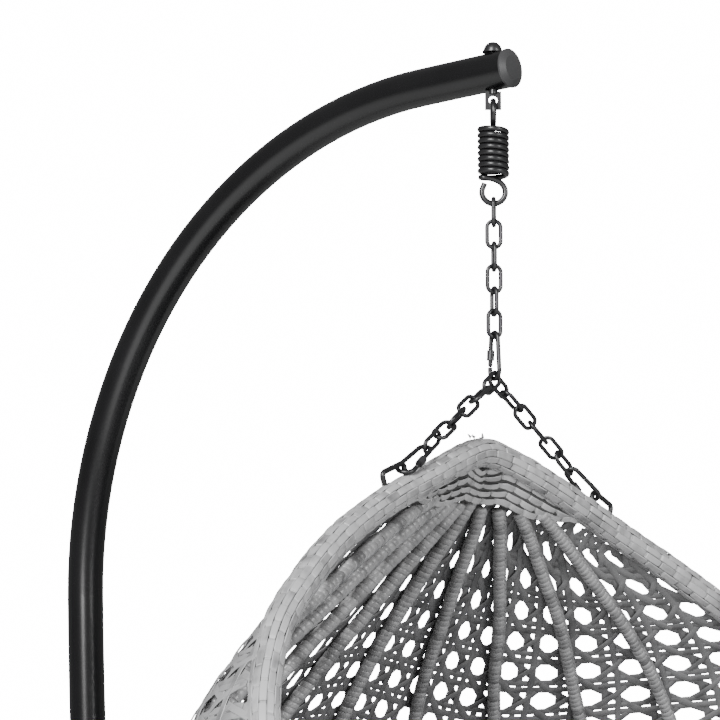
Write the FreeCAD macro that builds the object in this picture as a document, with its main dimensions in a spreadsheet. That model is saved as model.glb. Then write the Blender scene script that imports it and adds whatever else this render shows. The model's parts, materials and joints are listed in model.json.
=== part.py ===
import FreeCAD, Part

import math
import os

from FreeCAD import Placement, Rotation, Vector

# Hanging egg chair: a ring base and a curved pole with an arm over the seat. A spring, a chain and
# two short branch chains with screw carabiners hang from the arm and carry a wide wicker basket.
# Millimetres. +Z is up, the sitter faces -Y, the pole stands at +Y, and the origin is on the floor
# straight below the point that the spring hangs from.

DRIVING_SIZES = {
    # Stand
    "tube_diameter": 50.0,
    "tube_wall": 2.0,
    "ring_radius": 555.0,
    "ring_height": 31.0,
    "foot_diameter": 40.0,
    "foot_pad": 6.0,
    "spine_diameter": 40.0,
    "socket_bore": 51.2,
    "socket_wall": 3.0,
    "socket_length": 150.0,
    "pole_lean": 12.1,
    "lower_arc_radius": 7000.0,
    "lower_arc_length": 1283.5,
    "shoulder_radius": 645.0,
    "shoulder_turn": 29.7,
    "arm_radius": 613.0,
    "arm_turn": 59.6,
    "arm_overhang": 26.0,
    "split_height": 880.0,
    "sleeve_length": 220.0,
    "sleeve_diameter": 45.9,
    "sleeve_wall": 2.5,
    "cap_rim": 2.5,
    "cap_dome": 4.0,
    "cap_plug": 14.0,
    "bolt_diameter": 8.0,
    "bolt_head": 14.0,
    # Hanger under the arm
    "hanger_shank": 12.0,
    "eye_width": 21.0,
    "eye_thickness": 6.0,
    "eye_bottom": 1903.5,
    "eye_hole": 12.0,
    "eye_hole_height": 1916.0,
    "eye_gap": 1.0,
    "dome_nut": 24.0,
    # Spring
    "spring_wire": 7.4,
    "spring_diameter": 41.5,
    "spring_coils": 8.25,
    "spring_pitch": 7.83,
    "spring_loop": 30.3,
    "spring_neck": 1.5,
    # Chains
    "chain_wire": 5.5,
    "link_width": 23.0,
    "link_inner": 29.5,
    "link_gap": 0.2,
    "chain_heading": -52.0,
    "main_twist": 6.0,
    "branch_twist": 15.0,
    "branch_spread": 3.6,
    # Screw carabiners
    "carabiner_wire": 6.0,
    "main_carabiner": 60.0,
    "branch_carabiner": 65.0,
    "carabiner_top": 8.0,
    "carabiner_bottom": 11.0,
    "carabiner_heading": 68.0,
    "carabiner_tilt": 20.0,
    "carabiner_nose": 5.0,
    "carabiner_heel": 4.0,
    "screw_diameter": 9.8,
    "screw_bore": 6.2,
    "screw_length": 13.0,
    "screw_rest": 6.0,
    # Basket
    "rim_tube": 25.0,
    "rim_wrap": 37.0,
    "rim_wall": 2.0,
    "net_margin": 27.0,
    "rib_diameter": 18.0,
    "rib_bore": 12.0,
    "rib_spread": 0.15,
    "rib_bunch": 0.045,
    "rib_bunch_loss": 2.0,
    "net_thickness": 5.0,
    "loop_wire": 7.0,
    "loop_station": 2.5,
    "loop_length": 46.0,
    "loop_height": 33.0,
    "loop_seat": 24.5,
}

# Basket stations from the top to the front lip. Each holds the rim's half width, depth and height,
# the depth and height of the shell's middle line, how full the cross curve between them is, how far
# apart the ribs run as a share of the half width, and how much the sides flare out.
STATIONS = (
    (36.0, 12.0, 1450.0, 24.0, 1436.0, 1.35, 0.15, 0.0),
    (82.0, 3.0, 1435.0, 34.0, 1422.0, 1.37, 0.15, 0.0),
    (148.0, -6.0, 1410.0, 48.0, 1402.0, 1.39, 0.158, 0.0),
    (250.0, -16.0, 1370.0, 75.0, 1368.0, 1.41, 0.161, 0.0),
    (363.0, -39.0, 1320.0, 119.0, 1318.0, 1.47, 0.168, 0.0),
    (473.0, -72.0, 1260.0, 169.0, 1258.0, 1.6, 0.178, 0.02),
    (572.0, -107.0, 1190.0, 221.0, 1188.0, 1.9, 0.189, 0.06),
    (645.0, -152.0, 1090.0, 280.0, 1088.0, 2.4, 0.2115, 0.09),
    (682.0, -212.0, 955.0, 330.0, 953.0, 2.8, 0.2145, 0.09),
    (678.0, -270.0, 820.0, 347.0, 800.0, 2.9, 0.2145, 0.08),
    (640.0, -316.0, 705.0, 326.0, 640.0, 2.8, 0.2145, 0.06),
    (572.0, -347.0, 613.0, 254.0, 485.0, 2.7, 0.2145, 0.04),
    (478.0, -365.0, 550.0, 112.0, 366.0, 2.6, 0.2145, 0.02),
    (378.0, -374.0, 512.0, -80.0, 320.0, 2.5, 0.2145, 0.0),
    (290.0, -379.0, 490.0, -262.0, 354.0, 2.3, 0.2145, 0.0),
    (215.0, -382.0, 478.0, -385.0, 468.0, 2.0, 0.2145, 0.0),
)

doc = FreeCAD.newDocument("HangingEggChair")
sheet = doc.addObject("Spreadsheet::Sheet", "Sizes")
for row, (alias, value) in enumerate(DRIVING_SIZES.items(), start=1):
    sheet.set(f"A{row}", alias)
    sheet.set(f"B{row}", str(value))
    sheet.setAlias(f"B{row}", alias)
doc.recompute()

DRILL_LENGTH = 90.0
BOLT_CLEARANCE = 1.0
RING_BOLT_ANGLE = 3.5
RING_SLEEVE_ANGLE = 12.0
RING_FEET = 6

SUB_PARTS = []
X_AXIS = Vector(1, 0, 0)
Y_AXIS = Vector(0, 1, 0)
Z_AXIS = Vector(0, 0, 1)


def size(alias):
    """A driving size, read from the spreadsheet."""
    return float(sheet.get(alias))


def bind(thing, **formulas):
    """Binds properties of a document object to the spreadsheet's cells."""
    for prop, formula in formulas.items():
        words = [f"Sizes.{word}" if word in DRIVING_SIZES else word for word in formula.split()]
        thing.setExpression(prop, " ".join(words))
    return thing


def sub_part(thing, label):
    """Names an object as one sub-part of the chair."""
    thing.Label = label
    SUB_PARTS.append(thing)
    return thing


def flat_direction(degrees):
    """A level unit vector at an angle from +X."""
    return Vector(math.cos(math.radians(degrees)), math.sin(math.radians(degrees)), 0)


def facing(point, direction):
    """A placement at a point whose local Z runs along a direction."""
    return Placement(point, Rotation(Z_AXIS, direction))


def framed(point, x_direction, z_direction):
    """A placement at a point with its local X and Z directions given."""
    return Placement(point, Rotation(x_direction, Vector(), z_direction, "ZXY"))


def cylinder(name, place, diameter, length):
    """A cylinder from a placement along its local Z; both sizes are spreadsheet formulas."""
    thing = doc.addObject("Part::Cylinder", name)
    thing.Placement = place
    return bind(thing, Radius=f"( {diameter} ) / 2", Height=length)


def cut(name, base, tool):
    """One piece with another taken out of it."""
    thing = doc.addObject("Part::Cut", name)
    thing.Base = base
    thing.Tool = tool
    return thing


def fuse(name, pieces):
    """Several pieces joined into one solid."""
    thing = doc.addObject("Part::MultiFuse", name)
    thing.Shapes = pieces
    return thing


def group(name, pieces):
    """Separate solids of one kind, such as bolts, kept together in one sub-part."""
    thing = doc.addObject("Part::Compound", name)
    thing.Links = pieces
    return thing


def sweep(name, wire, diameter):
    """A round bar of a spreadsheet diameter along a path."""
    path = doc.addObject("Part::Feature", f"{name}_path")
    path.Shape = wire
    first = wire.OrderedEdges[0]
    at_start = first.Orientation == "Forward"
    parameter = first.FirstParameter if at_start else first.LastParameter
    section = doc.addObject("Part::Circle", f"{name}_section")
    section.Placement = facing(first.valueAt(parameter), first.tangentAt(parameter))
    bind(section, Radius=f"( {diameter} ) / 2")
    bar = doc.addObject("Part::Sweep", f"{name}_bar")
    bar.Sections = [section]
    bar.Spine = (path, [f"Edge{count + 1}" for count in range(len(wire.Edges))])
    bar.Solid = True
    return bar


def pipe(name, wire, diameter, bore):
    """A tube along a path: a bar with a smaller bar taken out of it."""
    outer = sweep(f"{name}_outer", wire, diameter)
    inner = sweep(f"{name}_inner", wire, bore)
    return cut(name, outer, inner)


def bend_at(before, corner, after, share=0.5):
    """The start, middle and end of the largest arc that rounds a corner between two runs."""
    incoming = (corner - before).normalize()
    outgoing = (after - corner).normalize()
    reach = share * min((corner - before).Length, (after - corner).Length)
    start = corner - incoming * reach
    end = corner + outgoing * reach
    half_turn = incoming.getAngle(outgoing) / 2
    radius = reach / math.tan(half_turn)
    inward = (outgoing - incoming).normalize()
    middle = corner + inward * (radius / math.cos(half_turn) - radius)
    return start, middle, end


def rounded_path(points, closed=False, share=0.5):
    """Straight runs joined by tangent arcs that round every corner of a route."""
    count = len(points)
    corners = range(count) if closed else range(1, count - 1)
    bends = [bend_at(points[i - 1], points[i], points[(i + 1) % count], share) for i in corners]
    edges = []
    here = bends[-1][2] if closed else points[0]
    for start, middle, end in bends:
        if (start - here).Length > 0.01:
            edges.append(Part.LineSegment(here, start).toShape())
        edges.append(Part.Arc(start, middle, end).toShape())
        here = end
    if not closed and (points[-1] - here).Length > 0.01:
        edges.append(Part.LineSegment(here, points[-1]).toShape())
    return Part.Wire(edges)


# The stand


def pole_stations():
    """The pole's centreline in the YZ plane as (start point, heading, radius, turn) of each bend."""
    foot = Vector(0, size("ring_radius"), size("ring_height"))
    lean = math.radians(size("pole_lean"))
    bends = []
    turns = (
        (size("lower_arc_radius"), size("lower_arc_length") / size("lower_arc_radius")),
        (size("shoulder_radius"), math.radians(size("shoulder_turn"))),
        (size("arm_radius"), math.radians(size("arm_turn"))),
    )
    point = foot
    for radius, turn in turns:
        bends.append((point, lean, radius, turn))
        point = point + arc_offset(lean, radius, turn)
        lean -= turn
    bends.append((point, lean, 0.0, 0.0))
    return bends


def arc_offset(lean, radius, turn):
    """How far an arc that starts at a lean from upright carries the centreline."""
    after = lean - turn
    return Vector(0, radius * (math.cos(after) - math.cos(lean)), radius * (math.sin(lean) - math.sin(after)))


def pole_arc(bend, skip=0.0, share=1.0):
    """The edge of one bend, from a share of its turn to another."""
    start, lean, radius, turn = bend
    at = [start + arc_offset(lean, radius, turn * part) for part in (skip, (skip + share) / 2, share)]
    return Part.Arc(*at).toShape()


BENDS = pole_stations()
ARM_START, ARM_LEAN = BENDS[3][0], BENDS[3][1]
ARM_DIRECTION = Vector(0, math.sin(ARM_LEAN), math.cos(ARM_LEAN))
ARM_LENGTH = (ARM_START.y + size("arm_overhang")) / -ARM_DIRECTION.y
ARM_END = ARM_START + ARM_DIRECTION * ARM_LENGTH
ARM_OVER_HOOK = ARM_START + ARM_DIRECTION * (ARM_START.y / -ARM_DIRECTION.y)


def split_share():
    """The share of the lower bend at which the pole comes apart."""
    low, high = 0.0, 1.0
    for _ in range(40):
        middle = (low + high) / 2
        start, lean, radius, turn = BENDS[0]
        height = (start + arc_offset(lean, radius, turn * middle)).z
        low, high = (middle, high) if height < size("split_height") else (low, middle)
    return low


def along_lower_bend(share):
    """The point and direction at a share of the pole's lower bend."""
    start, lean, radius, turn = BENDS[0]
    now = lean - turn * share
    return start + arc_offset(lean, radius, turn * share), Vector(0, math.sin(now), math.cos(now))


def cross_bolts(name, places, length):
    """Button-head bolts through a tube, each with a nut, as separate solids in one sub-part."""
    bolts = []
    for index, (point, direction) in enumerate(places):
        half = direction * (length / 2)
        shank = doc.addObject("Part::Cylinder", f"{name}_shank_{index}")
        shank.Placement = facing(point - half, direction)
        shank.Height = length
        bind(shank, Radius="bolt_diameter / 2")
        heads = []
        for end, away in ((half, direction), (half * -1, direction * -1)):
            head = doc.addObject("Part::Cone", f"{name}_head_{index}")
            head.Placement = facing(point + end, away)
            heads.append(bind(head, Radius1="bolt_head / 2", Radius2="bolt_head / 3", Height="bolt_head / 3"))
        bolts.append(fuse(f"{name}_{index}", [shank] + heads))
    return group(name, bolts)


def drilled(name, base, places, length):
    """A piece with clearance holes for its bolts."""
    for index, (point, direction) in enumerate(places):
        drill = doc.addObject("Part::Cylinder", f"{name}_drill_{index}")
        drill.Placement = facing(point - direction * (length / 2), direction)
        drill.Height = length
        bind(drill, Radius="( bolt_diameter + 0.4 ) / 2")
        base = cut(f"{name}_drilled_{index}", base, drill)
    return base


def ring_bolt_places():
    """The point and direction of each bolt through the ring's two joints."""
    places = []
    for side in (-1, 1):
        for angle in (-RING_BOLT_ANGLE, RING_BOLT_ANGLE):
            level = flat_direction(90 - side * 90 + angle)
            places.append((level * size("ring_radius") + Vector(0, 0, size("ring_height")), level))
    return places


def ring_half(name, label, turn):
    """Half of the base ring, a bent tube that is open at both ends."""
    tubes = []
    for kind, radius in (("outer", "tube_diameter / 2"), ("bore", "tube_diameter / 2 - tube_wall")):
        torus = doc.addObject("Part::Torus", f"{name}_{kind}")
        torus.Angle3 = 180
        torus.Placement = Placement(Vector(0, 0, size("ring_height")), Rotation(Z_AXIS, turn))
        tubes.append(bind(torus, Radius1="ring_radius", Radius2=radius))
    sub_part(drilled(name, cut(f"{name}_tube", *tubes), ring_bolt_places(), DRILL_LENGTH), label)


def ring_sleeve(name, side, places):
    """The short bent tube inside one of the ring's joints."""
    turn = 90 - side * 90 - RING_SLEEVE_ANGLE / 2
    tubes = []
    for kind, gap in (("outer", 0.1), ("bore", 2.6)):
        torus = doc.addObject("Part::Torus", f"{name}_{kind}")
        torus.Placement = Placement(Vector(0, 0, size("ring_height")), Rotation(Z_AXIS, turn))
        torus.Angle3 = RING_SLEEVE_ANGLE
        tubes.append(bind(torus, Radius1="ring_radius", Radius2=f"tube_diameter / 2 - tube_wall - {gap}"))
    return drilled(name, cut(f"{name}_tube", *tubes), places, DRILL_LENGTH)


def ring_cutter(name):
    """The ring's outline, a little larger, that notches the pieces welded or pressed onto it."""
    torus = doc.addObject("Part::Torus", name)
    torus.Placement = Placement(Vector(0, 0, size("ring_height")), Rotation())
    return bind(torus, Radius1="ring_radius", Radius2="tube_diameter / 2 + 0.1")


def socket_bolt_places():
    """The bolt that holds the pole in its socket."""
    point, _ = along_lower_bend(size("socket_length") * 0.6 / size("lower_arc_length"))
    return [(point, X_AXIS)]


def pole_bolt_places():
    """The two bolts through the pole's joint and the sleeve inside it."""
    half = size("sleeve_length") / 2 / size("lower_arc_length")
    return [(along_lower_bend(split_share() + half * offset)[0], X_AXIS) for offset in (-0.6, 0.6)]


def make_base():
    """The ring in two halves, its joining sleeves, spine tube, pole socket, bolts and feet."""
    ring = Vector(0, size("ring_radius"), size("ring_height"))
    socket_end, _ = along_lower_bend(size("socket_length") / size("lower_arc_length"))
    socket_direction = (socket_end - ring).normalize()
    ring_half("RingFront", "base_ring_front", 180)
    ring_half("RingRear", "base_ring_rear", 0)
    places = ring_bolt_places()
    sleeves = [ring_sleeve(f"RingSleeve{index}", side, places) for index, side in enumerate((-1, 1))]
    sub_part(group("RingSleeves", sleeves), "base_joint_sleeves")
    sub_part(cross_bolts("RingBolts", places, size("tube_diameter") + BOLT_CLEARANCE), "base_bolts")
    spine_start = facing(Vector(0, -ring.y, ring.z), Y_AXIS)
    spine = cylinder("SpineBar", spine_start, "spine_diameter", "ring_radius * 2")
    hollow = cylinder("SpineBore", spine.Placement, "spine_diameter - 4", "ring_radius * 2")
    coped = cut("SpineCoped", cut("SpineTube", spine, hollow), ring_cutter("SpineCoping"))
    notch = facing(ring - socket_direction * (size("socket_length") / 5), socket_direction)
    beside_socket = cylinder("SpineNotch", notch, "socket_bore + 7", "socket_length")
    sub_part(cut("SpineNotched", coped, beside_socket), "base_spine")
    socket_start = facing(ring, socket_direction)
    outer = cylinder("SocketBar", socket_start, "socket_bore + 2 * socket_wall", "socket_length")
    bore = cylinder("SocketBore", socket_start, "socket_bore", "socket_length + 1")
    coped_socket = cut("SocketCoped", cut("SocketTube", outer, bore), ring_cutter("SocketCoping"))
    sub_part(drilled("Socket", coped_socket, socket_bolt_places(), DRILL_LENGTH), "pole_socket")
    feet = []
    for index in range(RING_FEET):
        level = flat_direction(360 / RING_FEET * index)
        pad = cylinder(f"Foot{index}", facing(level * ring.y, Z_AXIS), "foot_diameter", "ring_height - 12")
        feet.append(cut(f"FootPad{index}", pad, ring_cutter(f"FootCup{index}")))
    middle = cylinder("FootMiddle", facing(Vector(), Z_AXIS), "foot_diameter", "ring_height - 12")
    spine_cup = cylinder("FootMiddleCup", spine.Placement, "spine_diameter + 0.2", "ring_radius * 2")
    feet.append(cut("FootMiddlePad", middle, spine_cup))
    sub_part(group("Feet", feet), "rubber_feet")


def make_pole():
    """The lower and upper poles, the sleeve inside their joint, its bolts and the arm's end cap."""
    split = split_share()
    start_share = size("tube_diameter") * 0.52 / size("lower_arc_length")
    bore = "tube_diameter - 2 * tube_wall"
    lower = Part.Wire([pole_arc(BENDS[0], start_share, split)])
    tube = pipe("PoleLowerTube", lower, "tube_diameter", bore)
    places = socket_bolt_places() + pole_bolt_places()
    sub_part(drilled("PoleLower", tube, places, DRILL_LENGTH), "pole_lower")
    upper_edges = [pole_arc(BENDS[0], split + 0.0001, 1.0), pole_arc(BENDS[1]), pole_arc(BENDS[2])]
    upper_edges.append(Part.LineSegment(ARM_START, ARM_END).toShape())
    arm = pipe("PoleArm", Part.Wire(upper_edges), "tube_diameter", bore)
    under_arm = facing(ARM_OVER_HOOK - Z_AXIS * 40, Z_AXIS)
    drill = cylinder("ArmDrill", under_arm, "hanger_shank + 0.4", "socket_length")
    drilled_arm = cut("PoleArmDrilled", arm, drill)
    sub_part(drilled("PoleUpper", drilled_arm, pole_bolt_places(), DRILL_LENGTH), "pole_upper")
    half = size("sleeve_length") / 2 / size("lower_arc_length")
    inside = Part.Wire([pole_arc(BENDS[0], split - half, split + half)])
    sleeve = pipe("PoleSleeve", inside, "sleeve_diameter", "sleeve_diameter - 2 * sleeve_wall")
    sub_part(drilled("PoleJointSleeve", sleeve, pole_bolt_places(), DRILL_LENGTH), "pole_joint_sleeve")
    bolt_length = size("tube_diameter") + BOLT_CLEARANCE
    sub_part(cross_bolts("PoleBolts", pole_bolt_places(), bolt_length), "pole_joint_bolts")
    sub_part(cross_bolts("SocketBolt", socket_bolt_places(), size("socket_bore") + 7.0), "socket_bolt")
    plug = cylinder("CapPlug", facing(ARM_END, ARM_DIRECTION * -1), bore + " - 0.1", "cap_plug")
    plug.Placement = facing(ARM_END - ARM_DIRECTION * size("cap_plug"), ARM_DIRECTION)
    brim = cylinder("CapBrim", facing(ARM_END, ARM_DIRECTION), "tube_diameter + 1.6", "cap_rim")
    dome = doc.addObject("Part::Cone", "CapDome")
    dome.Placement = facing(ARM_END + ARM_DIRECTION * size("cap_rim"), ARM_DIRECTION)
    bind(dome, Radius1="tube_diameter / 2 + 0.8", Radius2="tube_diameter / 3", Height="cap_dome")
    sub_part(fuse("Cap", [plug, brim, dome]), "arm_end_cap")


def make_hanger():
    """The eye bolt through the arm that the spring hangs from, and the domed nut on top."""
    top = ARM_OVER_HOOK.z + size("tube_diameter") / 2 / math.cos(math.pi / 2 + ARM_LEAN)
    across = flat_direction(size("chain_heading"))
    through = flat_direction(size("chain_heading") + 90)
    blade = doc.addObject("Part::Box", "EyeBlade")
    corner = across * (-size("eye_width") / 2) + through * (-size("eye_thickness") / 2)
    blade.Placement = framed(Vector(corner.x, corner.y, size("eye_bottom")), across, Z_AXIS)
    bind(blade, Length="eye_width", Width="eye_thickness", Height="eye_hole_height - eye_bottom + 11")
    shank_base = size("eye_hole_height") + 8.0
    shank = doc.addObject("Part::Cylinder", "EyeShank")
    shank.Placement = facing(Vector(0, 0, shank_base), Z_AXIS)
    shank.Height = top + 8.0 - shank_base
    bind(shank, Radius="hanger_shank / 2")
    hole_start = Vector(0, 0, size("eye_hole_height")) - through * size("eye_thickness")
    hole = cylinder("EyeHole", facing(hole_start, through), "eye_hole", "eye_thickness * 2")
    sub_part(cut("EyeBolt", fuse("EyeBody", [blade, shank]), hole), "eye_bolt")
    washer = doc.addObject("Part::Cylinder", "NutWasher")
    washer.Placement = facing(Vector(0, 0, top + 0.6), Z_AXIS)
    washer.Height = 2.2
    bind(washer, Radius="dome_nut / 2 + 1.5")
    dome = doc.addObject("Part::Sphere", "NutDome")
    dome.Placement = facing(Vector(0, 0, top + 2.8), Z_AXIS)
    dome.Angle1 = 0
    bind(dome, Radius="dome_nut / 2")
    nut_hole = doc.addObject("Part::Cylinder", "NutHole")
    nut_hole.Placement = facing(Vector(0, 0, top - 5), Z_AXIS)
    nut_hole.Height = 13.2
    bind(nut_hole, Radius="( hanger_shank + 0.1 ) / 2")
    sub_part(cut("DomeNut", fuse("NutBody", [washer, dome]), nut_hole), "dome_nut")


# The spring, chains and carabiners

SPRING_TOP_BAR = size("eye_hole_height") - size("eye_hole") / 2 + size("spring_wire") / 2 + size("eye_gap")
SPRING_BODY_TOP = SPRING_TOP_BAR - size("spring_loop") - size("spring_neck")
SPRING_BODY_BOTTOM = SPRING_BODY_TOP - size("spring_coils") * size("spring_pitch") - size("spring_wire")
SPRING_LOW_BAR = SPRING_BODY_BOTTOM - size("spring_loop") - size("spring_neck")
LINK_SEAT = (size("chain_wire") + size("carabiner_wire")) / 2 + size("link_gap")
CHAIN_TOP = SPRING_LOW_BAR + (size("spring_wire") + size("chain_wire")) / 2 + size("link_gap")
LINK_STEP = size("link_inner") - size("link_gap")
MAIN_LINKS = 6
BRANCH_LINKS = 6


def spring_path():
    """The spring's wire in tangent arcs: a loop at each end, and the close coils between them."""
    outside = 1 / math.cos(math.radians(22.5))
    coil = (size("spring_diameter") - size("spring_wire")) / 2 * outside
    loop = size("spring_loop") / 2 * outside
    away = flat_direction(size("chain_heading") + 90)
    across = flat_direction(size("chain_heading"))
    upper = Vector(0, 0, SPRING_TOP_BAR - size("spring_loop") / 2)
    lower = Vector(0, 0, SPRING_LOW_BAR + size("spring_loop") / 2)
    points = []
    for degrees in range(-45, 226, 45):
        turn = math.radians(degrees)
        points.append(upper + away * (loop * math.cos(turn)) + Z_AXIS * (loop * math.sin(turn)))
    points.append(upper - Z_AXIS * (size("spring_loop") * 0.585))
    for step in range(int(size("spring_coils") * 8) + 1):
        level = SPRING_BODY_TOP - (size("spring_wire") + size("spring_pitch") * step / 4) / 2
        points.append(flat_direction(size("chain_heading") + 90 + 45 * step) * coil + Z_AXIS * level)
    points.append(lower + Z_AXIS * (size("spring_loop") * 0.585))
    for degrees in range(45, -226, -45):
        turn = math.radians(degrees)
        points.append(lower + across * (loop * math.cos(turn)) + Z_AXIS * (loop * math.sin(turn)))
    return rounded_path(points)


def link_path(top, along, across, inner_length):
    """A chain link's oval centreline. top is the middle of its first bar and along leads down the chain."""
    bend = (size("link_width") - size("chain_wire")) / 2
    straight = inner_length + size("chain_wire") - 2 * bend
    first = top + along * bend
    second = first + along * straight
    corners = [first + across * bend, second + across * bend, second - across * bend, first - across * bend]
    return Part.Wire(
        [
            Part.LineSegment(corners[0], corners[1]).toShape(),
            Part.Arc(corners[1], second + along * bend, corners[2]).toShape(),
            Part.LineSegment(corners[2], corners[3]).toShape(),
            Part.Arc(corners[3], top, corners[0]).toShape(),
        ]
    )


def make_main_chain():
    """The upright chain under the spring, each link a quarter turn and a little twist past the last."""
    for index in range(MAIN_LINKS):
        top = Vector(0, 0, CHAIN_TOP - LINK_STEP * index)
        heading = size("chain_heading") + 90 * (index + 1) + size("main_twist") * (index - 1)
        path = link_path(top, Z_AXIS * -1, flat_direction(heading), size("link_inner"))
        sub_part(sweep(f"MainLink{index + 1}", path, "chain_wire"), f"chain_link_{index + 1}")
    last_bar = CHAIN_TOP - LINK_STEP * (MAIN_LINKS - 1) - size("link_inner") - size("chain_wire")
    return Vector(0, 0, last_bar + LINK_SEAT)


def carabiner(name, label, top, along, gate_side, length):
    """A pear-shaped screw carabiner: its bent body, hinged gate and screw sleeve."""
    small, large = size("carabiner_top"), size("carabiner_bottom")
    wire = size("carabiner_wire")
    upper = top + along * small
    lower = top + along * (length - large)
    slant = math.asin((large - small) / (length - large - small))
    out_gate = gate_side * math.cos(slant) - along * math.sin(slant)
    out_back = gate_side * -math.cos(slant) - along * math.sin(slant)
    gate_top, gate_low = upper + out_gate * small, lower + out_gate * large
    back_top, back_low = upper + out_back * small, lower + out_back * large
    down = (gate_low - gate_top).normalize()
    nose = gate_top + down * size("carabiner_nose")
    heel = gate_low - down * size("carabiner_heel")
    body = Part.Wire(
        [
            Part.LineSegment(nose, gate_top).toShape(),
            Part.Arc(gate_top, top, back_top).toShape(),
            Part.LineSegment(back_top, back_low).toShape(),
            Part.Arc(back_low, top + along * length, gate_low).toShape(),
            Part.LineSegment(gate_low, heel).toShape(),
        ]
    )
    sub_part(sweep(f"{name}Body", body, "carabiner_wire"), f"{label}_body")
    pivot = heel - down * (wire / 2 + 0.3)
    ball = doc.addObject("Part::Sphere", f"{name}Knuckle")
    ball.Placement = Placement(pivot, Rotation())
    bind(ball, Radius="carabiner_wire / 2")
    rod = doc.addObject("Part::Cylinder", f"{name}Rod")
    rod.Placement = facing(pivot, down * -1)
    rod.Height = (nose - pivot).Length - 0.3
    bind(rod, Radius="carabiner_wire / 2")
    sub_part(fuse(f"{name}Gate", [ball, rod]), f"{label}_gate")
    seat = pivot - down * size("screw_rest")
    barrel = cylinder(f"{name}Barrel", facing(seat, down * -1), "screw_diameter", "screw_length")
    bore = cylinder(f"{name}Bore", facing(seat + down, down * -1), "screw_bore", "screw_length + 2")
    sub_part(cut(f"{name}Screw", barrel, bore), f"{label}_screw")
    return top + along * length


def make_branch(side, label, low_bar, seat):
    """One branch: six links from the main carabiner's lower bar, and a carabiner in the rim's loop."""
    offset = flat_direction(size("carabiner_heading")) * (size("branch_spread") * side)
    start = low_bar + offset
    along = (seat - start).normalize()
    reach = (seat - start).Length
    first_rise = LINK_SEAT + 0.4
    hook_gap = (size("carabiner_wire") + size("loop_wire")) / 2 + 0.3
    spare = reach + first_rise + LINK_SEAT + hook_gap - size("branch_carabiner") - size("chain_wire")
    inner = (spare + size("link_gap") * (BRANCH_LINKS - 1)) / BRANCH_LINKS
    across = Y_AXIS.cross(along).normalize()
    beside = along.cross(across).normalize()
    top = start - along * first_rise
    links = []
    for index in range(BRANCH_LINKS):
        turn = math.radians((90 + size("branch_twist")) * index)
        width = across * math.cos(turn) + beside * math.sin(turn)
        links.append(sweep(f"{label}Link{index + 1}", link_path(top, along, width, inner), "chain_wire"))
        top = top + along * (inner - size("link_gap"))
    sub_part(group(f"{label}Links", links), f"{label}_chain_links")
    last_bar = top + along * (size("link_gap") + size("chain_wire"))
    under = across if across.z < 0 else across * -1
    tilt = math.radians(size("carabiner_tilt"))
    gate_side = beside * (math.cos(tilt) if beside.y * side > 0 else -math.cos(tilt)) + under * math.sin(tilt)
    top = last_bar - along * LINK_SEAT
    carabiner(f"{label}Carabiner", f"{label}_carabiner", top, along, gate_side, size("branch_carabiner"))


# The basket


def station(place):
    """The basket's station values at a place along it, on a smooth curve through the stations."""
    last = len(STATIONS) - 1
    index = min(int(place), last - 1)
    part = place - index
    rows = [STATIONS[max(0, min(last, index + step))] for step in (-1, 0, 1, 2)]
    values = []
    for before, here, there, after in zip(*rows):
        rise = 3 * (here - there) + after - before
        sag = 2 * before - 5 * here + 4 * there - after
        values.append(here + 0.5 * part * ((there - before) + part * (sag + part * rise)))
    return values


def shell_point(across, place, lift=0.0):
    """A point of the basket's shell. across runs from -1 to 1 between the rims; lift goes inward."""
    if lift:
        return shell_point(across, place) + shell_normal(across, place) * lift
    half, rim_y, rim_z, back_y, back_z, fullness, _, flare = station(place)
    depth = 1 - abs(across) ** fullness
    wide = half * across * (1 + 4 * flare * across**4 * (1 - across**4))
    return Vector(wide, rim_y + (back_y - rim_y) * depth, rim_z + (back_z - rim_z) * depth)


def shell_normal(across, place):
    """The unit vector that points into the basket."""
    last = len(STATIONS) - 1
    step = 0.02
    wide = shell_point(min(1, across + step), place) - shell_point(max(-1, across - step), place)
    long = shell_point(across, min(last, place + step)) - shell_point(across, max(0, place - step))
    return long.cross(wide).normalize()


def rim_route():
    """Points round the whole rim: up one side, over the top, down the other and along the front lip."""
    last = len(STATIONS) - 1
    right = [shell_point(1, place) for place in range(last + 1)]
    lip = [shell_point(across, last) for across in (0.55, 0.0, -0.55)]
    left = [Vector(-p.x, p.y, p.z) for p in reversed(right)]
    apex = Vector(0, STATIONS[0][1] + 3, STATIONS[0][2] + 6)
    return right + lip + left + [apex]


def rib_across(number, place):
    """How far across a rib lies; the ribs bunch inward at the top and outward lower down."""
    spread = station(place)[6]
    bunch = size("rib_bunch") - size("rib_bunch_loss") * (spread - size("rib_spread"))
    return spread * number * (1 + bunch * (abs(number) - 2.5))


def rib_route(number):
    """One rib's centreline, inside the net, from under the top of the rim to the front lip."""
    last = len(STATIONS) - 1
    lift = (size("net_thickness") + size("rib_diameter")) / 2 + 0.4
    first = 1.8 + (0.3 + 0.06 * abs(number) if number else 0.0)
    places = [first] + list(range(3, last)) + [last - 0.28 - 0.025 * abs(number)]
    points = []
    for place in places:
        points.append(shell_point(rib_across(number, place), place, lift))
    return points


def gap_to_rim(point, route):
    """The distance from a point to the rim's centreline."""
    gaps = []
    for here, there in zip(route, route[1:] + route[:1]):
        run = there - here
        part = max(0.0, min(1.0, (point - here).dot(run) / run.dot(run)))
        gaps.append((point - here - run * part).Length)
    return min(gaps)


def net_reach(place, route):
    """How far across the net can go at a place before it meets the rim's wicker."""
    low, high = 0.0, 1.0
    for _ in range(12):
        middle = (low + high) / 2
        clear = gap_to_rim(shell_point(middle, place), route) > size("net_margin")
        low, high = (middle, high) if clear else (low, middle)
    return low


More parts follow.
